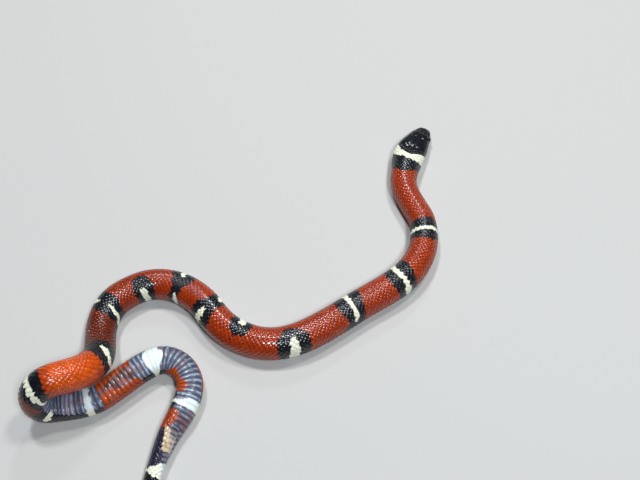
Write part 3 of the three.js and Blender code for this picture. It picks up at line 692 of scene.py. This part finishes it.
# The head's own directions: backward from the snout, to the animal's right, and up
HEAD_LENGTH = 15.5
LEVEL = np.array([1, 1, 0])
SNOUT, NAPE = frame_at(np.array([0.0, HEAD_LENGTH]))[0] * LEVEL
BACKWARD = unit(NAPE - SNOUT)
HEAD_AXES = np.array([BACKWARD, [-BACKWARD[1], BACKWARD[0], 0], [0, 0, 1]])
HEAD_ORIGIN = SNOUT - CENTRE


def in_head(points):
    return (points - HEAD_ORIGIN) @ HEAD_AXES.T


def from_head(u, v, z):
    return HEAD_ORIGIN + np.array([u, v, z]) @ HEAD_AXES


# Points of the head's surface along a line given from above, below or one side, found in fans of angles
VIEW_FANS = {"above": (0, 92), "below": (88, 180), "flank": (20, 165)}
FAN_COUNT = 160
SNOUT_START = 0.03


def on_head(line, view, side, step=0.05):
    corners = np.array(line, float)
    along = distances_along(corners)
    walk = columns_at(np.arange(0, along[-1] + step, step), along, corners)
    angles = side * np.linspace(*VIEW_FANS[view], FAN_COUNT)
    found = []
    for u, other in walk:
        points = surface(np.full(FAN_COUNT, max(u, SNOUT_START)), angles)
        _, right, height = in_head(points).T
        reach = height if view == "flank" else side * right
        if view != "above":
            reach, points = reach[::-1], points[::-1]
        found.append(columns_at(np.array(other), np.maximum.accumulate(reach), points))
    return found


# Grooves between the head's shields, as points on its surface
def head_grooves():
    grooves = []
    for side in (-1, 1):
        for view, lines in HEAD_LINES.items():
            for line in lines:
                grooves += on_head(line, view, side)
        for starts, up in ((UPPER_LIP_STARTS, LIP_HEIGHT), (LOWER_LIP_STARTS, -LIP_HEIGHT)):
            lip = [(u, float(table_value(MOUTH_LINE, u)) + up) for u in starts]
            grooves += on_head(lip, "flank", side)
            for u, z in lip[:-1]:
                grooves += on_head([(u, z - up), (u + LIP_LEAN, z)], "flank", side)
    return grooves


# Distance of each point to the nearest mark
def distances_to(marks, points):
    tree = kdtree.KDTree(len(marks))
    for i, mark in enumerate(marks):
        tree.insert(mark, i)
    tree.balance()
    return np.array([tree.find(point)[2] for point in points])


# Height of the head's skin over its plain surface, and distance to the mouth line
def head_relief(points):
    groove = distances_to(head_grooves(), points)
    mouth_marks = [mark for side in (-1, 1) for mark in on_head(MOUTH_LINE, "flank", side, step=0.04)]
    mouth = distances_to(mouth_marks, points)
    back, right, height = in_head(points).T
    relief = SHIELD_EDGE[0] - ridge(groove, *SHIELD_EDGE) - ridge(groove, *GROOVE)
    relief += ridge(mouth, *LIP) - ridge(mouth, *MOUTH)
    nostril = np.hypot(back - NOSTRIL[0], height - NOSTRIL[2]) / NOSTRIL_RADIUS
    on_flank = np.abs(right) > 0.5 * NOSTRIL[1]
    relief -= np.where(on_flank, NOSTRIL_DEPTH * (1 - smooth_step(0.5, 1.25, nostril)), 0)
    eye = np.hypot(back - EYE[0], height - EYE[2])
    near_eye = (np.abs(right) > 0.6 * EYE[1]) & (eye < 2)
    socket = SOCKET_DEPTH * (1 - smooth_step(*EYE_SOCKET, eye))
    round_eye = relief * smooth_step(0.9, 1.1, eye) + ridge(eye, *EYE_RIM) - socket
    return np.where(near_eye, round_eye, relief), mouth


# Skin: one closed mesh, fine over the head and coarser under the scales
HEAD_SKIN_END = 14
HEAD_TURNS = 360
BODY_TURNS = 60
SNOUT_STOPS = 12
HEAD_STEP = 0.092
BODY_STEP = 0.71
SINKS = (11, 13.4)
RELIEF_FADES = (12.2, 13.4)
SKIN_SPREAD = 0.3
UNDER_SCALES = 12.5
BETWEEN_SCALES = 0.35
MOUTH_SHADE = (0.7, 0, 0.07)


# Distances of the skin's rings from the snout, on the head and on the body
def skin_stops():
    tip = np.linspace(0.02, 0.3, SNOUT_STOPS, endpoint=False)
    snout = np.linspace(0.3, 1.0, SNOUT_STOPS, endpoint=False)
    head = np.concatenate([tip, snout, np.arange(1.0, HEAD_SKIN_END, HEAD_STEP)])
    return head, np.arange(HEAD_SKIN_END + 0.3, BODY_LENGTH - 0.2, BODY_STEP)


def skin_grid(stops, turns):
    angles = -180 + 360 * np.arange(turns) / turns
    return [grid.ravel() for grid in np.meshgrid(stops, angles, indexing="ij")]


def ring_triangles(first, rings, turns):
    start = first + np.arange(rings - 1)[:, None] * turns
    a = (start + np.arange(turns)).ravel()
    b = (start + (np.arange(turns) + 1) % turns).ravel()
    return np.concatenate([np.stack([a, b + turns, b], 1), np.stack([a, a + turns, b + turns], 1)])


# Triangles from one point to a ring
def cap_triangles(point, first, turns):
    k = np.arange(turns)
    return np.stack([np.full(turns, point), first + k, first + (k + 1) % turns], 1)


# Triangles between a fine ring and the coarse ring behind it
def stitch(fine, coarse, share, turns):
    rows = []
    for k in range(turns):
        here, beside = coarse + k, coarse + (k + 1) % turns
        edge = [fine + (k * share + j) % (turns * share) for j in range(share + 1)]
        half = share // 2
        rows += [(edge[j], here, edge[j + 1]) for j in range(half)]
        rows.append((edge[half], here, beside))
        rows += [(edge[j], beside, edge[j + 1]) for j in range(half, share)]
    return np.array(rows)


def skin_triangles(heads, bodies):
    first_body = heads * HEAD_TURNS
    last_ring = first_body + (bodies - 1) * BODY_TURNS
    snout = last_ring + BODY_TURNS
    head = ring_triangles(0, heads, HEAD_TURNS)
    join = stitch(first_body - HEAD_TURNS, first_body, HEAD_TURNS // BODY_TURNS, BODY_TURNS)
    body = ring_triangles(first_body, bodies, BODY_TURNS)
    front = cap_triangles(snout, 0, HEAD_TURNS)
    rear = cap_triangles(snout + 1, last_ring, BODY_TURNS)[:, [0, 2, 1]]
    return np.vstack([head, join, body, front, rear])


# Skin is darker between the scales than they are
def skin_colours(s, angle):
    spread = rng.uniform(-1, 1, len(s)) * SKIN_SPREAD
    colours = back_colour(s, angle, spread)
    under = (np.abs(angle) > SCUTE_EDGE) & (s > FIRST_SCUTE)
    colours[under] = belly_colour(s, angle, spread)[under]
    return np.where((s > UNDER_SCALES)[:, None], colours * BETWEEN_SCALES, colours)


# Places of the skin's triangles on the unwrap, so that none crosses the edge of a strip
def skin_unwrap(s, angle):
    angle = angle % 360
    wrapped = (angle.max(1) - angle.min(1)) > 180
    angle = np.where(wrapped[:, None] & (angle < 180), angle + 360, angle)
    strip = np.minimum(np.floor(s.mean(1) / STRIP_LENGTH), STRIPS - 1)[:, None]
    s = np.clip(s, strip * STRIP_LENGTH, (strip + 1) * STRIP_LENGTH)
    return unwrap(s, angle, strip).reshape(-1, 2)


# How far scales and skin keep their thickness where the body is slim
def slimness(s, full):
    return np.minimum(1, table_value(HALF_WIDTH, s) / full)


def make_skin():
    head_stops, body_stops = skin_stops()
    head_s, head_angle = skin_grid(head_stops, HEAD_TURNS)
    body_s, body_angle = skin_grid(body_stops, BODY_TURNS)
    relief, mouth = head_relief(surface(head_s, head_angle))
    relief = relief * (1 - smooth_step(*RELIEF_FADES, head_s))
    head = surface(head_s, head_angle, relief - SKIN_DEPTH * smooth_step(*SINKS, head_s))
    body = surface(body_s, body_angle, -SKIN_DEPTH * slimness(body_s, 2))
    snout = head[:HEAD_TURNS].mean(0) - 0.01 * HEAD_AXES[0]
    tip = surface(BODY_LENGTH, 0.0, -0.1)
    points = np.vstack([head, body, snout, tip])
    triangles = skin_triangles(len(head_stops), len(body_stops))
    s = np.concatenate([head_s, body_s, [0.0, BODY_LENGTH]])
    angle = np.concatenate([head_angle, body_angle, [0.0, 0.0]])
    shaded = np.concatenate([ridge(mouth, *MOUTH_SHADE), np.zeros(len(points) - len(head))])
    colours = skin_colours(s, angle) * (1 - shaded)[:, None]
    unwrapped = skin_unwrap(s[triangles], angle[triangles])
    skin = mesh_object("skin", points, triangles, colours, unwrapped, skin_material, "body_skin")
    flesh = [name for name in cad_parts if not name.startswith("eye")]
    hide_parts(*flesh)


# Plates of the coat: height of their front, where their rim starts to step down, half width of their
# place on the unwrap, and triangles in a mesh of them
PLATE_SUNK = -0.1
RIM_FROM = 0.3
PATCH = 0.0015
COAT_LIMIT = 180000


# Plate: a closed scale on a grid of its own, with a wall from its rim down to its underside. Its stations
# give the distance b along it and its half width w there. The value a goes from -1 to 1 across it, along
# from 0 to 1 over its length, and free from 0 to 1 over the part that the plate before it leaves open.
class Plate:
    def __init__(self, stations, across, shows):
        stations = np.array(stations, float)
        rows, columns = len(stations), len(across)
        grid = np.arange(rows * columns).reshape(rows, columns)
        rim = np.concatenate([grid[0, :-1], grid[:-1, -1], grid[-1, :0:-1], grid[:0:-1, 0]])
        below = grid.size + np.arange(len(rim))
        top = np.stack([grid[:-1, :-1], grid[:-1, 1:], grid[1:, 1:], grid[1:, :-1]], -1).reshape(-1, 4)
        walls = np.stack([below, np.roll(below, -1), np.roll(rim, -1), rim], 1)
        lid = [(below[-k], below[k], below[k + 1], below[-k - 1]) for k in range(len(rim) // 2)]
        quads = np.vstack([top, walls, np.array(lid)])
        triangles = np.vstack([quads[:, [0, 1, 2]], quads[:, [0, 2, 3]]])
        self.triangles = triangles[[len(set(corners)) == 3 for corners in triangles.tolist()]]
        everywhere = np.concatenate([np.arange(grid.size), rim])
        self.a = np.tile(across, rows)[everywhere]
        self.b = np.repeat(stations[:, 0], columns)[everywhere]
        self.w = np.repeat(stations[:, 1], columns)[everywhere]
        self.is_rim = np.isin(everywhere, rim)
        self.is_below = np.arange(len(everywhere)) >= grid.size
        front, tip = stations[0, 0], stations[-1, 0]
        self.along = (self.b - front) / (tip - front)
        self.free = np.clip((self.b - shows) / (tip - shows), 0, 1)
        self.patch = (self.b - self.b.mean()) / 0.6 * PATCH

    # Height over the body, from the rise to the tip, the step down at the rim and the thickness
    def lift(self, pillow, rise, rim, thickness):
        lift = PLATE_SUNK + rise * self.along + pillow
        return lift - np.where(self.is_rim & (self.along > RIM_FROM), rim, 0) - thickness * self.is_below


def random_column(count):
    return rng.uniform(-1, 1, (count, 1))


# Plates joined into as few meshes as their limit of triangles allows
def add_coat(name, plate, shape, colours, unwrapped, material, slot):
    s, angle, lift = shape
    count = len(s)
    per_piece = COAT_LIMIT // len(plate.triangles)
    pieces = math.ceil(count / per_piece)
    s = np.clip(s, 0.1, BODY_LENGTH)
    for k, share in enumerate(np.array_split(np.arange(count), pieces)):
        points = surface(s[share], angle[share], lift[share]).reshape(-1, 3)
        first = np.arange(len(share))[:, None, None] * s.shape[1]
        triangles = (plate.triangles[None] + first).reshape(-1, 3)
        rows = [grid[share].reshape(-1, grid.shape[-1]) for grid in (colours, unwrapped)]
        mesh_object(f"{name}_{k + 1}", points, triangles, *rows, material, slot)


# Back scales: rows at even distances round the body, every other row half a scale behind
SCALE_STATIONS = [(-0.62, 0.3), (-0.42, 0.6), (-0.2, 0.84), (0.02, 0.9), (0.2, 0.83), (0.35, 0.65),
                  (0.46, 0.42), (0.52, 0.24), (0.55, 0.08)]
SCALE_ACROSS = [-1, -0.86, -0.45, 0, 0.45, 0.86, 1]
SCALE_SHOWS = -0.2
SCALE_PILLOW = 0.085
SCALE_LIFT = (0.15, 0.035, 0.1)
SCALE_WOBBLE = 0.05
SCALE_TILT = 0.012
SCALE_MIDDLE = 0.17
SCALE_FOLLOW = 0.4
SIDE_SHADE = 0.62
TIP_SHADE = 0.5
RAISED_SCALES = (197, 209)
RAISED_SHADE = 0.5

# Where scales start behind the head by angle, and how many rows of them there are by distance
SCALE_START = [(0, 11.6), (15, 12.4), (30, 12.6), (50, 11.4), (75, 11.4), (110, 11.7), (150, 12.4)]
SCALE_ROWS = [(0, 21), (VENT, 17), (294, 15), (301, 13), (308, 11), (315, 9), (322, 7), (329, 5)]
FIRST_RING = 11
LAST_RING = 0.6


# Distances of the rings of scales and the length of each; they shorten towards the tail's tip
def body_rings():
    stops = [FIRST_RING]
    while stops[-1] < BODY_LENGTH - LAST_RING:
        left = (BODY_LENGTH - stops[-1]) / (BODY_LENGTH - VENT)
        stops.append(stops[-1] + PITCH * min(1, 0.5 + 0.5 * left))
    return np.array(stops[:-1]), np.diff(stops)


# For each scale: distance, girth from the middle of the back, length and width of its place
def back_scale_roots():
    roots = []
    for ring, pitch in zip(*body_rings()):
        rows = [count for start, count in SCALE_ROWS if ring >= start][-1]
        row_girth = EDGE_GIRTH / (rows / 2)
        for k in range(-(rows // 2), rows // 2 + 1):
            s = ring + (0.5 * pitch if k % 2 else 0)
            if s > straight(SCALE_START, abs(angle_of(k * row_girth))):
                roots.append((s, k * row_girth, pitch, row_girth))
    return np.array(roots)


def make_back_scales():
    plate = Plate(SCALE_STATIONS, SCALE_ACROSS, SCALE_SHOWS)
    s, girth, pitch, row_girth = (column[:, None] for column in back_scale_roots().T)
    count = len(s)
    wobble = 1 + SCALE_WOBBLE * random_column(count)
    point_s = s + plate.b * pitch * wobble
    point_girth = girth + plate.a * plate.w * row_girth * wobble
    point_angle = angle_of(np.clip(point_girth, -GIRTH[-1], GIRTH[-1]))
    pillow = SCALE_PILLOW * (1 - plate.a**2) * np.sin(math.pi * plate.free)
    lift = plate.lift(pillow, *SCALE_LIFT)
    lift = (lift + SCALE_TILT * random_column(count) * plate.a) * slimness(s, 3)
    spread = random_column(count) * np.ones(len(plate.a))
    middle_s = s + SCALE_MIDDLE * pitch
    middle_angle = angle_of(girth)
    painted_s = middle_s + SCALE_FOLLOW * (point_s - middle_s)
    painted_angle = middle_angle + SCALE_FOLLOW * (point_angle - middle_angle)
    side_shade = SIDE_SHADE * smooth_step(0.45, 0.95, np.abs(plate.a))
    edge = np.minimum(side_shade + TIP_SHADE * smooth_step(0.84, 1.0, plate.along), 0.7)
    raised = (point_s > RAISED_SCALES[0]) & (point_s < RAISED_SCALES[1])
    shade = 1.08 - edge * np.where(raised, RAISED_SHADE, 1.0) - 0.3 * plate.is_below
    colours = edged(back_colour(painted_s, painted_angle, spread), shade)
    unwrapped = unwrap(s, middle_angle % 360) + np.stack([plate.patch, plate.a * PATCH], 1)
    shape = (point_s, point_angle, lift)
    add_coat("back_scales", plate, shape, colours, unwrapped, scale_material, "body_skin")


# Belly scutes: one wide plate for each ring, then pairs under the tail
SCUTE_STATIONS = [(-0.4, 0.95), (-0.18, 0.97), (0, 0.985), (0.14, 0.99), (0.27, 1), (0.4, 1),
                  (0.52, 1), (0.63, 0.99), (0.72, 0.975), (0.78, 0.95), (0.81, 0.93)]
SCUTE_ACROSS = np.concatenate([[-1, -0.985], np.linspace(-0.95, 0.95, 21), [0.985, 1]])
SCUTE_HALF_ANGLE = 180 - SCUTE_EDGE + 4
SCUTE_SHOWS = -0.19
SCUTE_PILLOW = 0.075
SCUTE_SIDES = 0.09
SCUTE_LIFT = (0.1, 0.03, 0.09)
SCUTE_SWEPT = 0.16
SCUTE_WOBBLE = 0.03
SCUTE_MIDDLE = 0.3
SCUTE_FOLLOW = 0.7
ANAL_SCUTE = 1.25
PAIR_OFFSET = 0.25

# Painted highlight: a pale bluish sheen line across each dull scute, start, full, fading and end over its
# free part
SCUTE_PAINTED_SHEEN = (0.32, 0.46, 0.56, 0.72)


def make_scutes():
    rings, pitches = body_rings()
    whole = (rings > FIRST_SCUTE) & (rings < VENT)
    paired = rings >= VENT
    anal = np.abs(rings[whole] - VENT) < PITCH
    add_scutes("belly_scutes", SCUTE_ACROSS, rings[whole], pitches[whole], 180.0, SCUTE_HALF_ANGLE, anal)
    for side, name in ((-1, "tail_scutes_right"), (1, "tail_scutes_left")):
        s = rings[paired] + side * PAIR_OFFSET * pitches[paired]
        middle = 180.0 + side * (SCUTE_HALF_ANGLE / 2 - 1)
        add_scutes(name, SCUTE_ACROSS[::2], s, pitches[paired], middle, SCUTE_HALF_ANGLE / 2 + 1, s < 0)


def add_scutes(name, across, s, pitch, middle, half_angle, anal):
    plate = Plate(SCUTE_STATIONS, across, SCUTE_SHOWS)
    s, pitch = s[:, None], pitch[:, None]
    count = len(s)
    reach = np.where(anal[:, None], ANAL_SCUTE, 1.0) * (1 + SCUTE_WOBBLE * random_column(count))
    point_s = s + (plate.b + SCUTE_SWEPT * plate.a**2) * pitch * reach
    point_angle = middle + plate.a * plate.w * half_angle
    point_angle = np.broadcast_to(point_angle, point_s.shape)
    pillow = SCUTE_PILLOW * np.sin(math.pi * plate.free**1.5)
    pillow = pillow - SCUTE_SIDES * smooth_step(0.9, 1.0, np.abs(plate.a))
    lift = plate.lift(pillow, *SCUTE_LIFT) * slimness(s, 3)
    spread = random_column(count) * np.ones(len(plate.a))
    middle_s = s + SCUTE_MIDDLE * pitch
    ragged = 0.15 * pitch * blotches(6 * s, 1.5 * point_angle, 2)
    colours = belly_colour(middle_s + SCUTE_FOLLOW * (point_s - middle_s) + ragged, point_angle, spread)
    # Painted highlight: a pale sheen line across each dull scute, stronger on bluish ones
    line = stretch(plate.free, *SCUTE_PAINTED_SHEEN) * smooth_step(-0.9, 0.2, blotches(3 * s, 2 * point_angle, 4))
    dull = 1 - smooth_step(0.30, 0.45, colours.max(-1))
    blue = 0.20 + 0.36 * smooth_step(0, 0.06, colours[..., 2] - colours[..., 0])
    colours = mixed(colours, PAINTED_SHEEN, blue * line * dull * (0.75 + 0.25 * spread))
    front_shade = 0.55 * (1 - smooth_step(0.10, 0.34, plate.free))
    rear_shade = 0.5 * smooth_step(0.84, 1.0, plate.free)
    colours = edged(colours, 1.05 - front_shade - rear_shade - 0.3 * plate.is_below)
    unwrapped = unwrap(s + 0 * point_angle, point_angle % 360)
    unwrapped[..., 0] += plate.patch
    shape = (point_s, point_angle, lift)
    add_coat(name, plate, shape, colours, unwrapped, scute_material, "belly_skin")


# Eyes: smooth balls in the place of the two plain ones
EYE_AHEAD = 0.10
EYE_UP = 0.16


def make_eyes():
    u, v, z = EYE
    for side, name in ((-1, "eye_left"), (1, "eye_right")):
        centre = from_head(u, side * v, z) * MM
        outward = unit(side * HEAD_AXES[1] - EYE_AHEAD * HEAD_AXES[0] + EYE_UP * HEAD_AXES[2])
        radius = EYE_RADIUS * MM
        bpy.ops.mesh.primitive_uv_sphere_add(segments=64, ring_count=40, radius=radius, location=centre)
        ball = bpy.context.object
        ball.name = f"{name}_ball"
        bpy.ops.object.transform_apply(location=True, rotation=True, scale=True)
        ball.data.materials.append(eye_material(name, tuple(centre), tuple(outward)))
        for face in ball.data.polygons:
            face.use_smooth = True
        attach(ball, "root")
        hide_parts(name)


make_skin()
make_back_scales()
make_scutes()
make_eyes()


# Floor: plain pale sheet
bpy.ops.mesh.primitive_plane_add(size=3.0, location=(0, 0, 0))
floor = bpy.context.object
floor.name = "floor"
floor_material, floor_shader = new_material("floor", roughness=0.9, coat=0.0)
set_inputs(floor_shader, {"Base Color": (0.54, 0.53, 0.51, 1)})
floor.data.materials.append(floor_material)

# Light: four lamps high round the animal, by place, size, power and colour, and a faint even world
LAMPS = {
    "key": ((0.3, 0.32, 0.74), 0.14, 2.4, (1, 0.98, 0.95)),
    "sky": ((0.1, 0.95, 0.75), 0.15, 2.4, (0.8, 0.9, 1)),
    "flash": ((0.24, -0.29, 0.74), 0.18, 4.1, (0.86, 0.93, 1)),
    "side": ((-0.14, 0.34, 0.74), 0.11, 3.2, (0.94, 0.97, 1)),
}
WORLD = {"Color": (0.8, 0.86, 0.92, 1), "Strength": 0.06}
for name, (place, size, power, colour) in LAMPS.items():
    data = bpy.data.lights.new(name, "AREA")
    data.shape = "DISK"
    data.size = size
    data.energy = power
    data.color = colour
    lamp = bpy.data.objects.new(name, data)
    lamp.location = place
    lamp.rotation_euler = (-Vector(place)).to_track_quat("-Z", "Y").to_euler()
    bpy.context.scene.collection.objects.link(lamp)
world = bpy.data.worlds.new("studio")
world.use_nodes = True
set_inputs(world.node_tree.nodes["Background"], WORLD)
bpy.context.scene.world = world
bpy.context.scene.view_settings.view_transform = "Standard"

# Camera: 60 degrees above the floor, 275 mm from the place it looks at
LOOK_AT = Vector((23.2, 31.2, 0.0)) * MM
CAMERA_RISE = math.radians(60)
CAMERA_DISTANCE = 275 * MM
lens = bpy.data.cameras.new("camera")
lens.sensor_width = 36
lens.lens = 46.89
lens.clip_start = 0.01
camera = bpy.data.objects.new("camera", lens)
away = Vector((0, -math.cos(CAMERA_RISE), math.sin(CAMERA_RISE)))
camera.location = LOOK_AT + away * CAMERA_DISTANCE
camera.rotation_euler = (math.pi / 2 - CAMERA_RISE, 0, 0)
bpy.context.scene.collection.objects.link(camera)
bpy.context.scene.camera = camera
